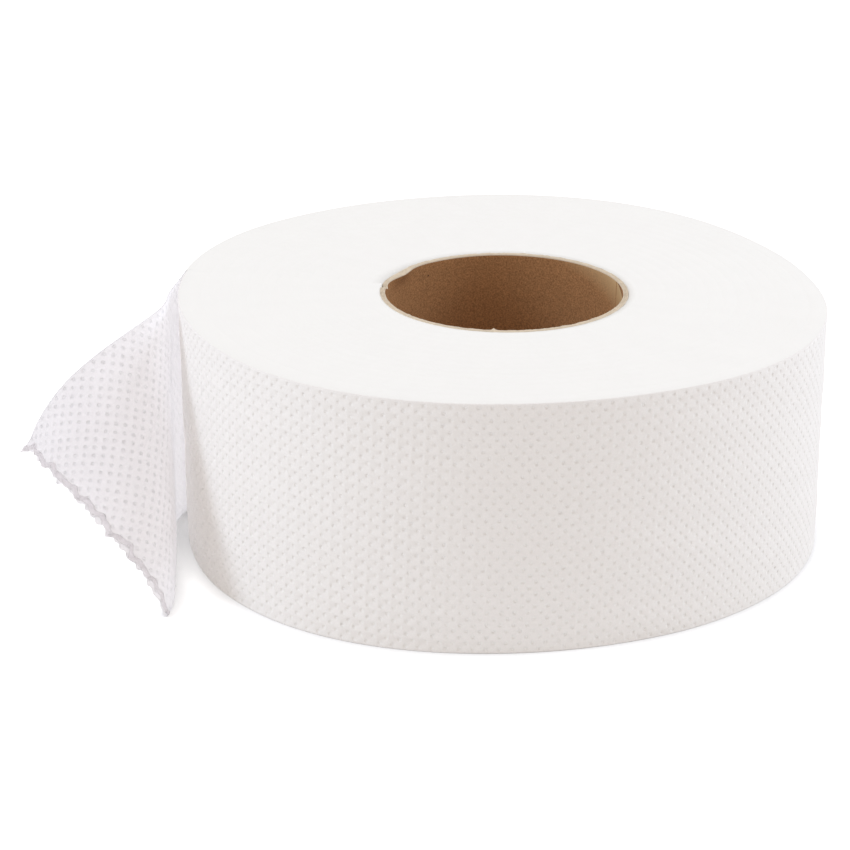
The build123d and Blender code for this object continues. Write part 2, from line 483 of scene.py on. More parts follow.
def tissue_side_material(name, see_through):
    """Embossed tissue: dots, felted fibres and a few specks.

    A loose sheet lets a share of the light through each of its faces, and the wound roll lets none.
    """
    wound = bpy.context.scene.wound_paper
    # A thin sheet takes up less of the light than the deep roll does
    powers = (0.6, 0.6, 0.45) if see_through else (1.0, 1.0, 1.0)
    colour = tuple(part ** power for part, power in zip(wound.paper_colour, powers))
    material, tree, shader = new_material(name, 0.95)
    place = add_node(tree, "ShaderNodeTexCoord").outputs["Object"]
    flat = flat_coordinates(tree)
    length, height = cell_size()
    dots = place_group(tree, "Embossed dots", dots_group, Along=flat[0],
                       Up=calculate(tree, "SUBTRACT", flat[1], wound.edge_rounding),
                       Cell_length=length, Cell_height=height, Radius=wound.dot_radius * 1.15,
                       Variation=wound.depth_variation)
    grain = place_group(tree, "Fibre grain", grain_group, Vector=place,
                        Fibres_per_metre=2200.0, Patches_per_metre=260.0)
    specks = place_group(tree, "Specks", specks_group, Vector=place,
                         Cells_per_metre=70.0, Share=0.05, Radius=0.00016)
    fibres = add_node(tree, "ShaderNodeBump", Strength=0.7, Distance=0.00022, Height=grain.outputs["Height"])
    # Dots go in on the outer face of the web and stand out on its inner face
    inner = add_node(tree, "ShaderNodeAttribute", attribute_name="inner_face").outputs["Fac"]
    sign = calculate(tree, "SUBTRACT", calculate(tree, "MULTIPLY", inner, 2.0), 1.0)
    pressed = add_node(tree, "ShaderNodeBump", Strength=1.0,
                       Distance=wound.dot_depth * (2.4 if see_through else 1.15),
                       Height=calculate(tree, "MULTIPLY", dots.outputs["Depth"], sign),
                       Normal=fibres.outputs[0])
    fine = add_node(tree, "ShaderNodeMapRange", Value=grain.outputs["Height"], From_Min=0.35,
                    From_Max=0.65).outputs[0]
    tint = mix_colour(tree, grain.outputs["Patches"], shade(colour, 0.975), shade(colour, 1.02))
    grained = mix_colour(tree, 0.5, tint, mix_colour(tree, fine, shade(colour, 0.94), shade(colour, 1.05)))
    # The dots are painted paler: painted light that offsets the shade in their hollows
    dots_painted_lighter = mix_colour(tree, calculate(tree, "MULTIPLY", dots.outputs["Depth"], 0.9), grained,
                        shade(colour, 1.06))
    speckled = mix_colour(tree, specks.outputs["Mask"], dots_painted_lighter, SPECK_COLOUR)
    tree.links.new(speckled, shader.inputs["Base Color"])
    tree.links.new(pressed.outputs[0], shader.inputs["Normal"])
    if see_through:
        through = add_node(tree, "ShaderNodeBsdfTranslucent", Color=speckled)
        mixed = add_node(tree, "ShaderNodeMixShader")
        mixed.inputs[0].default_value = see_through
        tree.links.new(shader.outputs[0], mixed.inputs[1])
        tree.links.new(through.outputs[0], mixed.inputs[2])
        tree.links.new(mixed.outputs[0], tree.nodes["Material Output"].inputs["Surface"])
    return material


def tissue_end_material():
    """Slit edges of the wound tissue: the fine lines of the turns, and faint streaks that cross them."""
    # The end colour is partly painted shade: a little darker than the side's for the brightly lit top
    colour = tuple(bpy.context.scene.wound_paper.end_colour)
    material, tree, shader = new_material("Slit tissue", 0.95)
    place = add_node(tree, "ShaderNodeTexCoord").outputs["Object"]
    parts = add_node(tree, "ShaderNodeSeparateXYZ", Vector=place).outputs
    squares = calculate(tree, "ADD", calculate(tree, "MULTIPLY", parts[0], parts[0]),
                        calculate(tree, "MULTIPLY", parts[1], parts[1]))
    radius = calculate(tree, "SQRT", squares)
    turns = add_node(tree, "ShaderNodeTexNoise", noise_dimensions="1D", W=radius,
                     Scale=3200.0, Detail=2.0, Roughness=0.7)
    around = add_node(tree, "ShaderNodeCombineXYZ", X=calculate(tree, "DIVIDE", parts[0], radius),
                      Y=calculate(tree, "DIVIDE", parts[1], radius),
                      Z=calculate(tree, "MULTIPLY", radius, 6.0))
    streaks = add_node(tree, "ShaderNodeTexNoise", Vector=around.outputs[0], Scale=9.0,
                       Detail=2.0, Roughness=0.5)
    grain = place_group(tree, "Fibre grain", grain_group, Vector=place,
                        Fibres_per_metre=3000.0, Patches_per_metre=200.0)
    specks = place_group(tree, "Specks", specks_group, Vector=place,
                         Cells_per_metre=70.0, Share=0.02, Radius=0.00014)
    height = calculate(tree, "ADD", turns.outputs[0],
                       calculate(tree, "MULTIPLY", grain.outputs["Height"], 0.5))
    bump = add_node(tree, "ShaderNodeBump", Strength=0.25, Distance=0.00008, Height=height)
    tint = mix_colour(tree, streaks.outputs[0], shade(colour, 0.985), shade(colour, 1.015))
    speckled = mix_colour(tree, specks.outputs["Mask"], tint, (0.2, 0.17, 0.14, 1.0))
    tree.links.new(speckled, shader.inputs["Base Color"])
    tree.links.new(bump.outputs[0], shader.inputs["Normal"])
    return material


# Wound paper

def dot_cell():
    """One cell of the embossing: a flat tile with two dots pressed into it, centred on the origin."""
    wound = bpy.context.scene.wound_paper
    length, height = cell_size()
    points = [(side * length / 2, end * height / 2) for side in (-1, 0, 1) for end in (-1, 1)]
    depths = [0.0] * len(points)
    for corner in (-1, 1):
        centre = (corner * length / 4, corner * height / 4)
        points.append(centre)
        depths.append(-wound.dot_depth)
        for spoke in range(8):
            turn = math.pi * (spoke + 0.5) / 4
            points.append((centre[0] + wound.dot_radius * math.cos(turn),
                           centre[1] + wound.dot_radius * math.sin(turn)))
            depths.append(0.0)
    flat = [mathutils.Vector(point) for point in points]
    found = mathutils.geometry.delaunay_2d_cdt(flat, [], [], 0, 1e-9)
    order = [sources[0] for sources in found[3]]
    mesh = bpy.data.meshes.new("dot_cell")
    mesh.from_pydata([(point.x, point.y, depths[source]) for point, source in zip(found[0], order)],
                     [], found[2])
    cell = bpy.data.objects.new("dot_cell", mesh)
    bpy.context.scene.collection.objects.link(cell)
    return cell


def web_length():
    return 2 * math.pi * bpy.context.scene.wound_paper.outer_radius


def cell_size():
    wound = bpy.context.scene.wound_paper
    return web_length() / wound.dot_columns, (wound.web_width - 2 * wound.edge_rounding) / wound.dot_rows


def flat_embossed_web(material):
    """The last turn as a flat embossed web, from the geometry nodes: points and faces."""
    wound = bpy.context.scene.wound_paper
    length, height = cell_size()
    web = dot_cell()
    modifier = web.modifiers.new("Embossed web", "NODES")
    tree = embossed_web_tree()
    modifier.node_group = tree
    values = {"Columns": wound.dot_columns, "Rows": wound.dot_rows, "Cell length": length,
              "Cell height": height, "Depth variation": wound.depth_variation, "Seed": wound.seed,
              "Material": material}
    for socket in tree.interface.items_tree:
        if socket.in_out == "INPUT" and socket.name in values:
            modifier[socket.identifier] = values[socket.name]
    evaluated = web.evaluated_get(bpy.context.evaluated_depsgraph_get())
    mesh = bpy.data.meshes.new_from_object(evaluated)
    points = np.array([vertex.co for vertex in mesh.vertices])
    faces = [tuple(face.vertices) for face in mesh.polygons]
    bpy.data.objects.remove(web)
    bpy.data.meshes.remove(mesh)
    points[:, 0] += web_length() / 2
    points[:, 1] += wound.web_width / 2
    return points, faces


def web_angle(along, rise):
    """Angle round the roll of a point of the last turn, at a distance from the start of the turn."""
    scene = bpy.context.scene
    lean = math.tan(scene.wound_paper.lattice_lean) * (rise - scene.wound_paper.web_width / 2)
    return scene.loose_end.leaving_angle - 2 * math.pi + (along + lean) / scene.wound_paper.outer_radius


def around(angle, radius, rise):
    """Points of the wound roll from cylinder coordinates, with the top out of level."""
    return np.stack([radius * np.cos(angle), radius * np.sin(angle),
                     rise + rim_lift(angle, radius, rise)], axis=-1)


def soft_ripples(angle, rise):
    """Soft unevenness of the outer turn, in metres."""
    rng = np.random.default_rng(RIPPLE_SEED)
    along = angle * bpy.context.scene.wound_paper.outer_radius
    wide = soft_waves(rng, along, rise * 3.0, 7, 0.03, 0.09) * 0.00012
    bands = soft_waves(rng, along * 0.25, rise * 1.6, 6, 0.016, 0.035) * 0.00005
    return wide + bands


def outer_radius_at(along, rise):
    """Radius of the last turn's face at a distance from the turn's start, which lies one step lower."""
    wound = bpy.context.scene.wound_paper
    angle = web_angle(along, rise)
    return roll_radius(angle, rise) - wound.web_step * (1 - along / web_length()) + soft_ripples(angle, rise)


class PointStore:
    """Points of one mesh, with a UV and a running number each."""

    def __init__(self):
        self.points, self.uvs, self.faces, self.slots = [], [], [], []
        self.count = 0

    def add(self, points, uvs):
        first = self.count
        self.points.append(np.asarray(points, float).reshape(-1, 3))
        self.uvs.append(np.asarray(uvs, float).reshape(-1, 2))
        self.count += len(self.points[-1])
        return np.arange(first, self.count)

    def fill(self, faces, slot):
        self.faces += [tuple(int(point) for point in face) for face in faces]
        self.slots += [slot] * len(faces)

    def strip(self, lower, upper, slot, flip=False):
        """Quads between two lines of point numbers."""
        quads = [(a, b, c, d) for a, b, c, d in zip(lower[:-1], lower[1:], upper[1:], upper[:-1])]
        self.fill([quad[::-1] for quad in quads] if flip else quads, slot)


def end_rows(store, edge_start, edge, rise, side):
    """The face of one end: from the rounded outer edge in to the tube, with the grooves of its turns.

    Edge holds the point numbers of the outer edge, from the start of the last turn to its end, and
    side is 1 for the top and -1 for the bottom.
    """
    wound = bpy.context.scene.wound_paper
    columns = len(edge) - 1
    share = np.linspace(0, 1, columns + 1)
    angle = web_angle(share * web_length(), rise)
    inner = wound.tube_radius + 0.0006
    outer = wound.outer_radius - 0.0042
    spacing = (outer - inner) / (wound.turns_shown + 1)
    groove = min(0.00016, spacing / 6)
    end_uv = np.stack([angle[:-1] * 0.08, np.full(columns, 0.3)], axis=1)
    rng = np.random.default_rng(wound.seed + 1)
    lines = []
    for turn in range(wound.turns_shown + 1):
        for offset, depth in ((-groove, 0.0), (0.0, 1.0), (groove, 0.0)):
            lines.append((inner + groove + spacing * turn + offset, depth * (0.6 + 0.8 * rng.random())))
    rows, ends = [], []
    for radius, depth in lines:
        radii = radius + spacing * share
        scale = 1 + (roll_radius(angle, rise) / wound.outer_radius - 1) * (radii / wound.outer_radius) ** 2
        dish = 0.00003 * np.sin(5 * angle + radii * 60.0) + 0.00002 * np.sin(9 * angle - radii * 90.0)
        points = around(angle, radii * scale, rise + side * (dish - depth * wound.groove_depth))
        points = tube_lean(points, np.clip((outer - radii) / (outer - inner), 0, 1))
        ends.append(points[-1:])
        rows.append(list(map(int, store.add(points[:-1], end_uv))))
    # A line of the spiral ends where the line one turn further out starts
    lines = []
    for number, row in enumerate(rows):
        if number + 3 < len(rows):
            lines.append(row + [rows[number + 3][0]])
        else:
            lines.append(row + [int(store.add(ends[number], [(angle[-1] * 0.08, 0.3)])[0])])
    flip = side < 0
    for lower, upper in zip(lines[:-1], lines[1:]):
        store.strip(lower, upper, END_SLOT, flip=not flip)
    # Innermost strip, between the tube and the first line of the spiral
    circle = tube_lean(around(angle, wound.tube_radius + 0.00003, rise - side * 0.0002), 1.0)
    tube_line = list(map(int, store.add(circle[:-1], end_uv)))
    tube_line.append(tube_line[0])
    first = lines[0]
    store.strip(tube_line[:-1], first[:-1], END_SLOT, flip=not flip)
    closing = [tube_line[-2], tube_line[-1], first[0], lines[1][0], lines[2][0], first[-1], first[-2]]
    store.fill([closing if flip else closing[::-1]], END_SLOT)
    # Outermost strip, between the last line of the spiral and the outer edge
    last = lines[-1]
    edge = list(map(int, edge))
    opening = [last[0], last[1], edge[1], edge[0], last[-1], lines[-2][-1], lines[-3][-1]]
    store.fill([opening if flip else opening[::-1]], END_SLOT)
    store.strip(last[1:-1], edge[1:-1], END_SLOT, flip=not flip)
    closing = [last[-2], last[-1], edge_start, edge[-1], edge[-2]]
    store.fill([closing if flip else closing[::-1]], END_SLOT)
    return tube_line


def wound_paper_mesh(materials):
    """The wound roll as one closed mesh: embossed outer turn, both ends, hole and the step of the web."""
    wound = bpy.context.scene.wound_paper
    flat, faces = flat_embossed_web(materials[0])
    store = PointStore()
    angle = web_angle(flat[:, 0], flat[:, 1])
    radius = outer_radius_at(flat[:, 0], flat[:, 1]) + flat[:, 2]
    store.add(around(angle, radius, flat[:, 1]), flat[:, :2])
    store.fill(faces, PAPER_SLOT)

    # Borders of the web, in order
    low, high = wound.edge_rounding, wound.web_width - wound.edge_rounding
    tolerance = 0.00002
    lower = np.flatnonzero(np.abs(flat[:, 1] - low) < tolerance)
    upper = np.flatnonzero(np.abs(flat[:, 1] - high) < tolerance)
    start = np.flatnonzero(np.abs(flat[:, 0]) < tolerance)
    finish = np.flatnonzero(np.abs(flat[:, 0] - web_length()) < tolerance)
    lower, upper = lower[np.argsort(flat[lower, 0])], upper[np.argsort(flat[upper, 0])]
    start, finish = start[np.argsort(flat[start, 1])], finish[np.argsort(flat[finish, 1])]

    # Rounded edges, then the ends
    start_line, finish_line = list(start), list(finish)
    tube_lines = []
    for border, side, rise in ((upper, 1, wound.web_width), (lower, -1, 0.0)):
        along = flat[border, 0]
        previous = border
        for turned in (0.45, 1.0):
            back = wound.edge_rounding * (1 - math.cos(turned * math.pi / 2))
            up = rise - side * wound.edge_rounding * (1 - math.sin(turned * math.pi / 2))
            ring_angle = web_angle(along, up)
            ring_radius = outer_radius_at(along, rise) - back
            row = store.add(around(ring_angle, ring_radius, np.full(len(along), up)),
                            np.stack([along, np.full(len(along), up)], axis=1))
            store.strip(previous, row, PAPER_SLOT, flip=side < 0)
            if side > 0:
                start_line.append(int(row[0]))
                finish_line.append(int(row[-1]))
            else:
                start_line.insert(0, int(row[0]))
                finish_line.insert(0, int(row[-1]))
            previous = row
        edge_start = int(previous[0])
        tube_lines.append(end_rows(store, edge_start, previous, rise, side))
    store.strip(tube_lines[1], tube_lines[0], END_SLOT, flip=True)
    store.strip([int(point) for point in finish_line], [int(point) for point in start_line], PAPER_SLOT,
                flip=True)
    points = np.concatenate(store.points)
    return build_mesh("wound_paper", points, store.faces, np.concatenate(store.uvs), materials, store.slots)


# Loose end

def running_sum(values):
    return np.concatenate([[0.0], np.cumsum((values[1:] + values[:-1]) / 2 * LINE_STEP)])


def plan_line():
    """The loose end seen from above: distances from where it leaves, x, y and heading there."""
    wound, loose = bpy.context.scene.wound_paper, bpy.context.scene.loose_end
    along = np.arange(-30 * MM, 140 * MM, LINE_STEP)
    heading = np.radians(np.interp(along / MM, HEADING_AT, HEADINGS))
    before = along < 0
    heading[before] = heading[before] - along[before] / wound.outer_radius
    x, y = -running_sum(np.sin(heading)), -running_sum(np.cos(heading))
    zero = int(np.argmin(np.abs(along)))
    x += wound.outer_radius * math.cos(loose.leaving_angle) - x[zero]
    y += wound.outer_radius * math.sin(loose.leaving_angle) - y[zero]
    return along, x, y, heading


def sheet_place(along, rise):
    """Middle of the loose end for flat coordinates: points and the outward direction at each."""
    loose = bpy.context.scene.loose_end
    reach = np.arange(0, 130 * MM, LINE_STEP)
    bend = running_sum(np.interp(reach / MM, CURL_AT, CURL_BENDS) / MM)
    forward, out = running_sum(np.cos(bend)), running_sum(np.sin(bend))
    lean_sin, lean_cos = math.sin(loose.fold_lean), math.cos(loose.fold_lean)
    past = along - loose.fold_start
    up_fold = -past * lean_sin + rise * lean_cos
    off_fold = past * lean_cos + rise * lean_sin
    curled = np.clip(off_fold, 0, None)
    ahead = np.where(off_fold < 0, off_fold, np.interp(curled, reach, forward))
    away = np.where(off_fold < 0, 0, np.interp(curled, reach, out))
    turned = np.interp(curled, reach, bend)
    level = loose.fold_start - up_fold * lean_sin + ahead * lean_cos
    height = up_fold * lean_cos + ahead * lean_sin
    line, line_x, line_y, line_heading = plan_line()
    heading = np.interp(level, line, line_heading)
    # Close to the roll the sheet follows the roll's own unevenness
    angle = loose.leaving_angle + level / bpy.context.scene.wound_paper.outer_radius
    near = 1 - np.clip(level / 0.026, 0, 1)
    near = near * near * (3 - 2 * near)
    uneven = (roll_radius(angle, height) - bpy.context.scene.wound_paper.outer_radius) * near
    away = away + uneven
    x = np.interp(level, line, line_x) - away * np.cos(heading)
    y = np.interp(level, line, line_y) + away * np.sin(heading)
    outward = np.stack([-np.cos(heading), np.sin(heading), np.zeros_like(heading)], axis=-1)
    ahead_way = np.stack([-np.sin(heading), -np.cos(heading), np.zeros_like(heading)], axis=-1)
    up_way = np.array([0.0, 0.0, 1.0])
    flat_way = ahead_way * lean_cos + up_way * lean_sin
    facing = outward * np.cos(turned)[..., None] - flat_way * np.sin(turned)[..., None]
    return np.stack([x, y, height], axis=-1), facing


def tear_line(rise, rng):
    """How far along the web the tear lies, at heights up the web."""
    scene = bpy.context.scene
    loose = scene.loose_end
    share = rise / scene.wound_paper.web_width
    straight = loose.lower_length + (loose.upper_length - loose.lower_length) * share
    scallops = soft_waves(rng, rise, rise * 0, 6, 0.003, 0.014) * loose.raggedness * 1.3
    fringe = soft_waves(rng, rise, rise * 0, 8, 0.0012, 0.003) * loose.raggedness * 0.16
    tab = 0.0014 * np.exp(-((rise - 0.0352) / 0.0016) ** 2)
    notch = 0.0005 * np.exp(-((rise - 0.0385) / 0.0012) ** 2)
    tip = 0.0045 * np.clip((share - 0.93) / 0.07, 0, 1) ** 1.3
    return straight + scallops + fringe + tab - notch + tip


def dot_relief(along, rise):
    """Depth of the embossing at flat coordinates of the web, one at the middle of a dot."""
    wound = bpy.context.scene.wound_paper
    length, height = cell_size()
    total = np.zeros(np.broadcast(along, rise).shape)
    for quarter in (0.25, 0.75):
        across = (along / length - quarter + 0.5) % 1 - 0.5
        up = ((rise - wound.edge_rounding) / height - quarter + 0.5) % 1 - 0.5
        away = np.hypot(across * length, up * height) / (wound.dot_radius * 1.3)
        total += np.where(away < 1, 0.5 + 0.5 * np.cos(np.pi * np.clip(away, 0, 1)), 0)
    return total


def ply_mesh(name, reach_back, tear_seed, short, material):
    """A part of the loose end as a closed thin sheet.

    Without a reach back it is the bonded web, from the roll to the tear. With one it is the second ply,
    which comes loose over that distance and is torn off a little short.
    """
    scene = bpy.context.scene
    wound, loose = scene.wound_paper, scene.loose_end
    length, _ = cell_size()
    step = length / round(length / loose.grid_step)
    lean = math.tan(wound.lattice_lean)
    rise_line = np.linspace(0.00012, wound.web_width, round(wound.web_width / loose.grid_step) + 1)
    tear = tear_line(rise_line, np.random.default_rng(tear_seed))[:, None] - short
    rise = rise_line[:, None]
    slant = lean * (rise - wound.web_width / 2)
    if reach_back:
        share = np.linspace(0, 1, round(reach_back / loose.grid_step) + 1)[None, :]
        along = tear - reach_back * (1 - share)
    else:
        along = np.arange(0, loose.upper_length + 0.006, step)[None, :] + slant
        along[:, 0] = 0.0
        # The last few millimetres are drawn in to end at the tear, the rest keeps its place
        blend_from = tear - 0.009
        share = np.clip((along - blend_from) / (along[:, -1:] - blend_from), 0, 1)
        along = np.where(along > blend_from, blend_from + share * (tear - blend_from), along)
    rise = rise + np.zeros_like(along)
    rng = np.random.default_rng(loose.seed)
    middle, facing = sheet_place(along, rise)
    relief = dot_relief(along - slant, rise)
    uneven = np.clip(1 + 0.35 * soft_waves(rng, along, rise, 6, 0.005, 0.012), 0.3, 1.7)
    soft = soft_waves(rng, along, rise * 0.6, 8, 0.012, 0.045) * 0.00022
    free = np.clip(along / 0.02, 0, 1)
    loosened = np.clip(1 - (tear - along) / 0.012, 0, 1)
    outer = soft * free - relief * wound.dot_depth * uneven
    web = 2 * loose.ply_thickness
    if reach_back:
        swell = 1 + 0.8 * soft_waves(rng, along * 0.3, rise, 5, 0.006, 0.02)
        lift = loosened * loosened * loose.ply_gap * swell
        outer = outer - web * (0.45 + 0.6 * np.clip(loosened * 3, 0, 1)) - lift
        thick = np.full_like(along, loose.ply_thickness)
    else:
        thick = web * (1 - 0.5 * loosened)
    outer_points = middle + facing * outer[..., None]
    inner_points = middle + facing * (outer - thick)[..., None]
    outer_points[..., 2] = np.clip(outer_points[..., 2], 0.00003, None)
    inner_points[..., 2] = np.clip(inner_points[..., 2], 0.00003, None)
    rows, columns = along.shape
    count = rows * columns
    points = np.concatenate([outer_points.reshape(-1, 3), inner_points.reshape(-1, 3)])
    uv = np.stack([(along - slant).ravel() + web_length(), rise.ravel()], axis=1)
    faces = grid_faces(rows, columns, flip=True) + grid_faces(rows, columns, first=count)
    numbers = np.arange(count).reshape(rows, columns)
    border = np.concatenate([numbers[0, :], numbers[1:, -1], numbers[-1, -2::-1], numbers[-2:0:-1, 0]])
    ahead = np.roll(border, -1)
    faces += np.stack([border, ahead, ahead + count, border + count], axis=1)[:, ::-1].tolist()
    piece = build_mesh(name, points, faces, np.concatenate([uv, uv]), [material])
    inner = piece.data.attributes.new("inner_face", "FLOAT", "POINT")
    inner.data.foreach_set("value", np.repeat([0.0, 1.0], count).astype(np.float32))
    return piece


# Tube

def kraft_material():
    """Bare kraft board: mottled fibres, dark flecks and the dark line of the inner ply's butt seam."""
    tube = bpy.context.scene.tube
    material, tree, shader = new_material("Kraft board", 0.9)
    place = add_node(tree, "ShaderNodeTexCoord").outputs["Object"]
    flat = flat_coordinates(tree)
    grain = place_group(tree, "Fibre grain", grain_group, Vector=place,
                        Fibres_per_metre=1500.0, Patches_per_metre=160.0)
    mottle = add_node(tree, "ShaderNodeTexNoise", Vector=place, Scale=1700.0, Detail=3.0, Roughness=0.75)
    specks = place_group(tree, "Specks", specks_group, Vector=place,
                         Cells_per_metre=110.0, Share=0.22, Radius=0.0003)
    colour = tuple(tube.board_colour)
    patched = mix_colour(tree, grain.outputs["Patches"], shade(colour, 0.84), shade(colour, 1.16))
    contrast = add_node(tree, "ShaderNodeMapRange", Value=mottle.outputs[0], From_Min=0.35,
                        From_Max=0.65).outputs[0]
    mottled = mix_colour(tree, contrast, shade(colour, 0.55), shade(colour, 1.45))
    both = mix_colour(tree, 0.7, patched, mottled)
    # Distance across the helical seam, repeated once in each ply's width
    rise, run = math.sin(tube.seam_rise), math.cos(tube.seam_rise)
    across = calculate(tree, "SUBTRACT", calculate(tree, "MULTIPLY", flat[1], run),
                       calculate(tree, "MULTIPLY", flat[0], rise))
    width = 2 * math.pi * tube.bore_radius * rise
    beside = calculate(tree, "FLOORED_MODULO", across, width)
    line = calculate(tree, "LESS_THAN", beside, 0.00035)
    strip = add_node(tree, "ShaderNodeMapRange", Value=beside, From_Min=width,
                     From_Max=width - 0.012).outputs[0]
    lighter = mix_colour(tree, calculate(tree, "SUBTRACT", 1.0, strip, clamp=True), both,
                         (0.60, 0.42, 0.22, 1.0))
    seamed = mix_colour(tree, line, lighter, (0.10, 0.03, 0.015, 1.0))
    flecked = mix_colour(tree, specks.outputs["Mask"], seamed, (0.03, 0.02, 0.012, 1.0))
    bump = add_node(tree, "ShaderNodeBump", Strength=0.5, Distance=0.00012,
                    Height=calculate(tree, "ADD", grain.outputs["Height"],
                                     calculate(tree, "MULTIPLY", line, -1.5)))
    tree.links.new(flecked, shader.inputs["Base Color"])
    tree.links.new(bump.outputs[0], shader.inputs["Normal"])
    return material


def rim_material():
    """Cut edge of the board: pale, with fibre grain and patches; the lines of its plies are grooves in the
    tube's mesh.
    """
    colour = tuple(bpy.context.scene.tube.rim_colour)
    material, tree, shader = new_material("Cut board", 0.92)
    place = add_node(tree, "ShaderNodeTexCoord").outputs["Object"]
    grain = place_group(tree, "Fibre grain", grain_group, Vector=place,
                        Fibres_per_metre=2600.0, Patches_per_metre=500.0)
    tint = mix_colour(tree, grain.outputs["Patches"], shade(colour, 0.82), shade(colour, 1.18))
    bump = add_node(tree, "ShaderNodeBump", Strength=0.6, Distance=0.00015, Height=grain.outputs["Height"])
    tree.links.new(tint, shader.inputs["Base Color"])
    tree.links.new(bump.outputs[0], shader.inputs["Normal"])
    return material


def near_angle(angle, centre, width):
    """One at a given angle in degrees, falling smoothly to nothing at a width either side."""
    away = (np.degrees(angle) - centre + 180) % 360 - 180
    return np.exp(-(away / width) ** 2)


def tube_mesh(materials):
    """The cardboard tube: walls, a cut rim with the lines of its plies, and its one crushed spot."""
    scene = bpy.context.scene
    tube, wound = scene.tube, scene.wound_paper
    outer, inner, top = wound.tube_radius - 0.00003, tube.bore_radius, wound.web_width
    wall = outer - inner
    rng = np.random.default_rng(tube.seed)
    columns = 360
    angle = np.linspace(0, 2 * math.pi, columns, endpoint=False)
    rises = np.concatenate([[0.0006, 0.02, 0.04, 0.055], np.linspace(0.062, top - 0.0005, 20)])
    profile = [(inner, rise, WALL_SLOT) for rise in rises]
    ply = wall / tube.plies
    for number in range(tube.plies):
        left = inner + number * ply
        for share, drop in ((0.14, 0.0001), (0.5, 0.0), (0.86, 0.0001)):
            profile.append((left + share * ply, top - drop, RIM_SLOT))
        if number < tube.plies - 1:
            profile.append((left + ply, top - 0.00028, RIM_SLOT))
    profile += [(outer, top - 0.0005, RIM_SLOT), (outer, top / 2, WALL_SLOT), (outer, 0.0006, RIM_SLOT)]
    profile += [(outer - 0.0002, 0.0, RIM_SLOT), (inner + 0.0002, 0.0, RIM_SLOT)]
    crush = near_angle(angle, 151.0, 9.5)
    nick = near_angle(angle, 172.0, 1.6)
    front_nick = near_angle(angle, -96.0, 0.9)
    rows = []
    for radius, rise, _ in profile:
        inside = np.clip((outer - radius) / wall, 0, 1)
        high = np.clip((rise - (top - 0.006)) / 0.006, 0, 1) ** 1.5
        radii = radius - crush * tube.crush_depth * high * (0.35 + 0.65 * inside)
        radii = radii - nick * 0.0006 * high
        rough = np.zeros(columns)
        if rise > top - 0.0004:
            rough = 0.00006 * np.sin(angle * 41 + radius * 9000) + 0.00005 * rng.standard_normal(columns)
        heights = rise + rough - nick * 0.0009 * (rise > top - 0.001)
        heights = heights + front_nick * 0.0007 * (rise > top - 0.001) * inside
        rows.append(np.stack([radii * np.cos(angle), radii * np.sin(angle), heights], axis=1))
    points = tube_lean(np.concatenate(rows), 1.0)
    count = len(profile)
    uv = np.concatenate([np.stack([(angle + 2 * math.pi - math.radians(17)) % (2 * math.pi) * inner,
                                   np.full(columns, rise - top)], axis=1) for _, rise, _ in profile])
    faces, slots = [], []
    for number in range(count):
        ahead = (number + 1) % count
        for column in range(columns):
            beside = (column + 1) % columns
            faces.append((number * columns + column, ahead * columns + column,
                          ahead * columns + beside, number * columns + beside))
            slots.append(max(profile[number][2], profile[ahead][2]))
    return build_mesh("cardboard_tube", points, faces, uv, materials, slots)


# Stage

def floor_material():
    """White floor: pure white to the camera, with a narrow shadow where the roll stands."""
    material = bpy.data.materials.new("White floor")
    material.use_nodes = True
    tree = material.node_tree
    tree.nodes.clear()
    end = tree.nodes.new("ShaderNodeOutputMaterial")
    lit = add_node(tree, "ShaderNodeBsdfDiffuse", Color=(0.9, 0.9, 0.9, 1.0))
    seen = add_node(tree, "ShaderNodeBsdfDiffuse", Color=(0.55, 0.55, 0.55, 1.0))
    near = add_node(tree, "ShaderNodeAmbientOcclusion", samples=4, Distance=0.008)
    glow = add_node(tree, "ShaderNodeEmission", Color=near.outputs["Color"], Strength=0.75)
    both = add_node(tree, "ShaderNodeAddShader")
    tree.links.new(seen.outputs[0], both.inputs[0])
    tree.links.new(glow.outputs[0], both.inputs[1])
    path = add_node(tree, "ShaderNodeLightPath").outputs
    chosen = calculate(tree, "MAXIMUM", path["Is Camera Ray"],
                       calculate(tree, "MAXIMUM", path["Is Glossy Ray"], path["Is Transmission Ray"]))
    mixed = add_node(tree, "ShaderNodeMixShader")
    tree.links.new(chosen, mixed.inputs[0])
    tree.links.new(lit.outputs[0], mixed.inputs[1])
    tree.links.new(both.outputs[0], mixed.inputs[2])
    tree.links.new(mixed.outputs[0], end.inputs["Surface"])
    return material


def add_lamp(name, place, aim, size, power, colour):
    light = bpy.data.lights.new(name, "AREA")
    light.shape = "SQUARE"
    light.size = size
    light.energy = power
    light.color = colour
    lamp = bpy.data.objects.new(name, light)
    lamp.location = place
    toward = mathutils.Vector(aim) - mathutils.Vector(place)
    lamp.rotation_euler = toward.to_track_quat("-Z", "Y").to_euler()
    bpy.context.scene.collection.objects.link(lamp)
    return lamp


def white_world(strength, colour):
    world = bpy.data.worlds.new("White studio")
    bpy.context.scene.world = world
    world.use_nodes = True
    tree = world.node_tree
    tree.nodes.clear()
    end = tree.nodes.new("ShaderNodeOutputWorld")
    even = add_node(tree, "ShaderNodeBackground", Color=shade(colour, 1.0), Strength=strength)
    seen = add_node(tree, "ShaderNodeBackground", Color=(1.0, 1.0, 1.0, 1.0), Strength=1.0)
    path = add_node(tree, "ShaderNodeLightPath").outputs
    chosen = calculate(tree, "MAXIMUM", path["Is Camera Ray"],
                       calculate(tree, "MAXIMUM", path["Is Glossy Ray"], path["Is Transmission Ray"]))
    mixed = add_node(tree, "ShaderNodeMixShader")
    tree.links.new(chosen, mixed.inputs[0])
    tree.links.new(even.outputs[0], mixed.inputs[1])
    tree.links.new(seen.outputs[0], mixed.inputs[2])
    tree.links.new(mixed.outputs[0], end.inputs["Surface"])


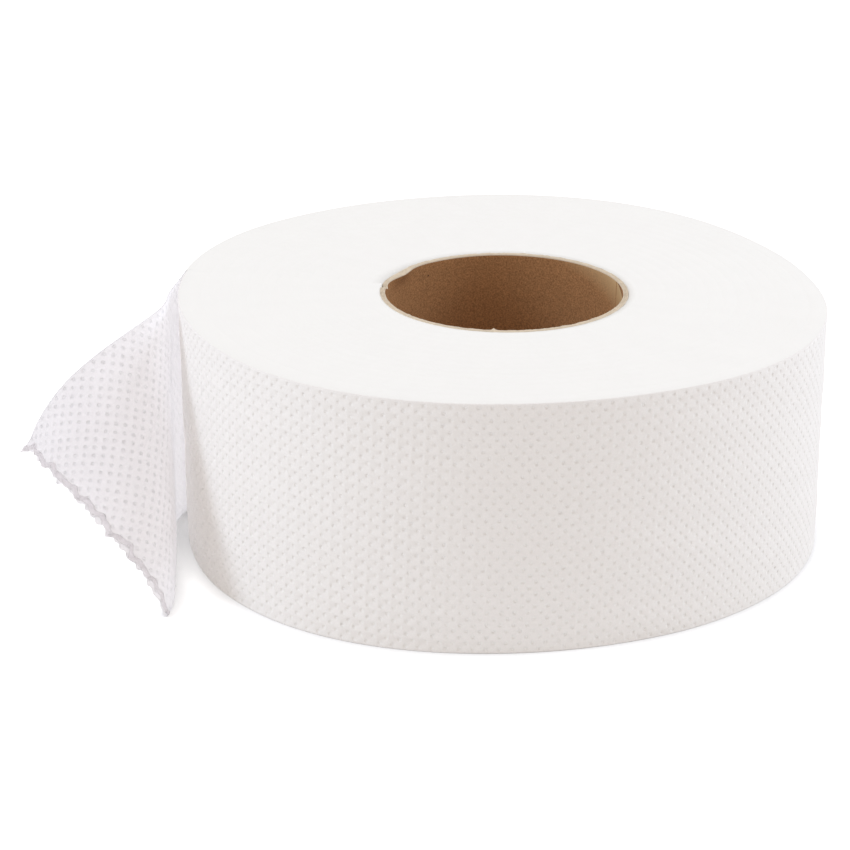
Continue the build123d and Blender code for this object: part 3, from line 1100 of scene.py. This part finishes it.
def add_camera():
    """The camera, at the place and angle from which the roll was seen."""
    camera = bpy.data.objects.new("Camera", bpy.data.cameras.new("Camera"))
    bpy.context.scene.collection.objects.link(camera)
    camera.data.sensor_width = 36.0
    camera.data.lens = FOCAL_PIXELS * camera.data.sensor_width / PICTURE_PIXELS
    camera.data.clip_start = 0.05
    camera.data.clip_end = 50.0
    down, roll = math.radians(CAMERA_DOWN), math.radians(CAMERA_ROLL)
    right = mathutils.Vector((math.cos(roll), math.sin(roll) * math.sin(down),
                              math.sin(roll) * math.cos(down)))
    back = mathutils.Vector((0.0, -math.cos(down), math.sin(down)))
    up = back.cross(right)
    turned = mathutils.Matrix((right, up, back)).transposed().to_4x4()
    turned.translation = CAMERA_PLACE
    camera.matrix_world = turned
    bpy.context.scene.camera = camera


# Operators

class PAPER_OT_add_wound_paper(bpy.types.Operator):
    """Adds the wound roll, with its embossed outer turn and its slit ends"""

    bl_idname = "paper_roll.add_wound_paper"
    bl_label = "Add wound paper"

    def execute(self, context):
        piece = wound_paper_mesh([tissue_side_material("Embossed tissue", 0.0), tissue_end_material()])
        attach(piece, "root")
        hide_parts("paper_roll")
        return {"FINISHED"}


class PAPER_OT_add_loose_end(bpy.types.Operator):
    """Adds the two plies of the torn loose end"""

    bl_idname = "paper_roll.add_loose_end"
    bl_label = "Add loose end"

    def execute(self, context):
        loose, wound = context.scene.loose_end, context.scene.wound_paper
        material = tissue_side_material("Loose tissue", loose.see_through)
        thin = tissue_side_material("Parted ply", 0.93)
        web = ply_mesh("loose_end", 0.0, loose.seed + 1, 0.0, material)
        ply = ply_mesh("loose_second_ply", loose.parted_length, loose.seed + 2, 0.0006, thin)
        for piece in (web, ply):
            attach(piece, "root")
            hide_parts("paper_roll")
        return {"FINISHED"}


class PAPER_OT_add_tube(bpy.types.Operator):
    """Adds the cardboard tube"""

    bl_idname = "paper_roll.add_tube"
    bl_label = "Add tube"

    def execute(self, context):
        piece = tube_mesh([kraft_material(), rim_material()])
        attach(piece, "root")
        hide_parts("cardboard_core")
        return {"FINISHED"}


class PAPER_OT_add_stage(bpy.types.Operator):
    """Adds the white floor, the lamps and the camera"""

    bl_idname = "paper_roll.add_stage"
    bl_label = "Add stage"

    def execute(self, context):
        stage = context.scene.paper_stage
        half = stage.floor_size / 2
        mesh = bpy.data.meshes.new("floor")
        mesh.from_pydata([(-half, -half, 0), (half, -half, 0), (half, half, 0), (-half, half, 0)], [],
                         [(0, 1, 2, 3)])
        mesh.materials.append(floor_material())
        floor = bpy.data.objects.new("floor", mesh)
        context.scene.collection.objects.link(floor)
        add_lamp("left_lamp", (-1.15, -0.16, 0.86), (0, 0, 0.06), 0.5, stage.left_power,
                 tuple(stage.lamp_colour))
        add_lamp("right_lamp", (1.15, 0.16, 0.86), (0, 0, 0.06), 0.5, stage.right_power,
                 tuple(stage.lamp_colour))
        white_world(stage.sky_strength, tuple(stage.sky_colour))
        add_camera()
        context.scene.view_settings.view_transform = "Standard"
        context.scene.cycles.diffuse_bounces = 8
        return {"FINISHED"}


class PAPER_PT_pieces(bpy.types.Panel):
    """Lists the pieces of the roll and their sizes"""

    bl_idname = "PAPER_PT_pieces"
    bl_label = "Paper roll"
    bl_space_type = "VIEW_3D"
    bl_region_type = "UI"
    bl_category = "Paper roll"

    def draw(self, context):
        for operator, group in (("paper_roll.add_wound_paper", "wound_paper"),
                                ("paper_roll.add_loose_end", "loose_end"),
                                ("paper_roll.add_tube", "tube"),
                                ("paper_roll.add_stage", "paper_stage")):
            box = self.layout.box()
            box.operator(operator)
            settings = getattr(context.scene, group)
            for name in settings.__annotations__:
                box.prop(settings, name)


CLASSES = (WoundPaperSettings, LooseEndSettings, TubeSettings, StageSettings, PAPER_OT_add_wound_paper,
           PAPER_OT_add_loose_end, PAPER_OT_add_tube, PAPER_OT_add_stage, PAPER_PT_pieces)


def register():
    for new_class in CLASSES:
        bpy.utils.register_class(new_class)
    bpy.types.Scene.wound_paper = bpy.props.PointerProperty(type=WoundPaperSettings)
    bpy.types.Scene.loose_end = bpy.props.PointerProperty(type=LooseEndSettings)
    bpy.types.Scene.tube = bpy.props.PointerProperty(type=TubeSettings)
    bpy.types.Scene.paper_stage = bpy.props.PointerProperty(type=StageSettings)


def unregister():
    for name in ("wound_paper", "loose_end", "tube", "paper_stage"):
        delattr(bpy.types.Scene, name)
    for old_class in reversed(CLASSES):
        bpy.utils.unregister_class(old_class)


def main():
    register()
    bpy.ops.paper_roll.add_wound_paper()
    bpy.ops.paper_roll.add_loose_end()
    bpy.ops.paper_roll.add_tube()
    bpy.ops.paper_roll.add_stage()


if __name__ == "__main__":
    main()
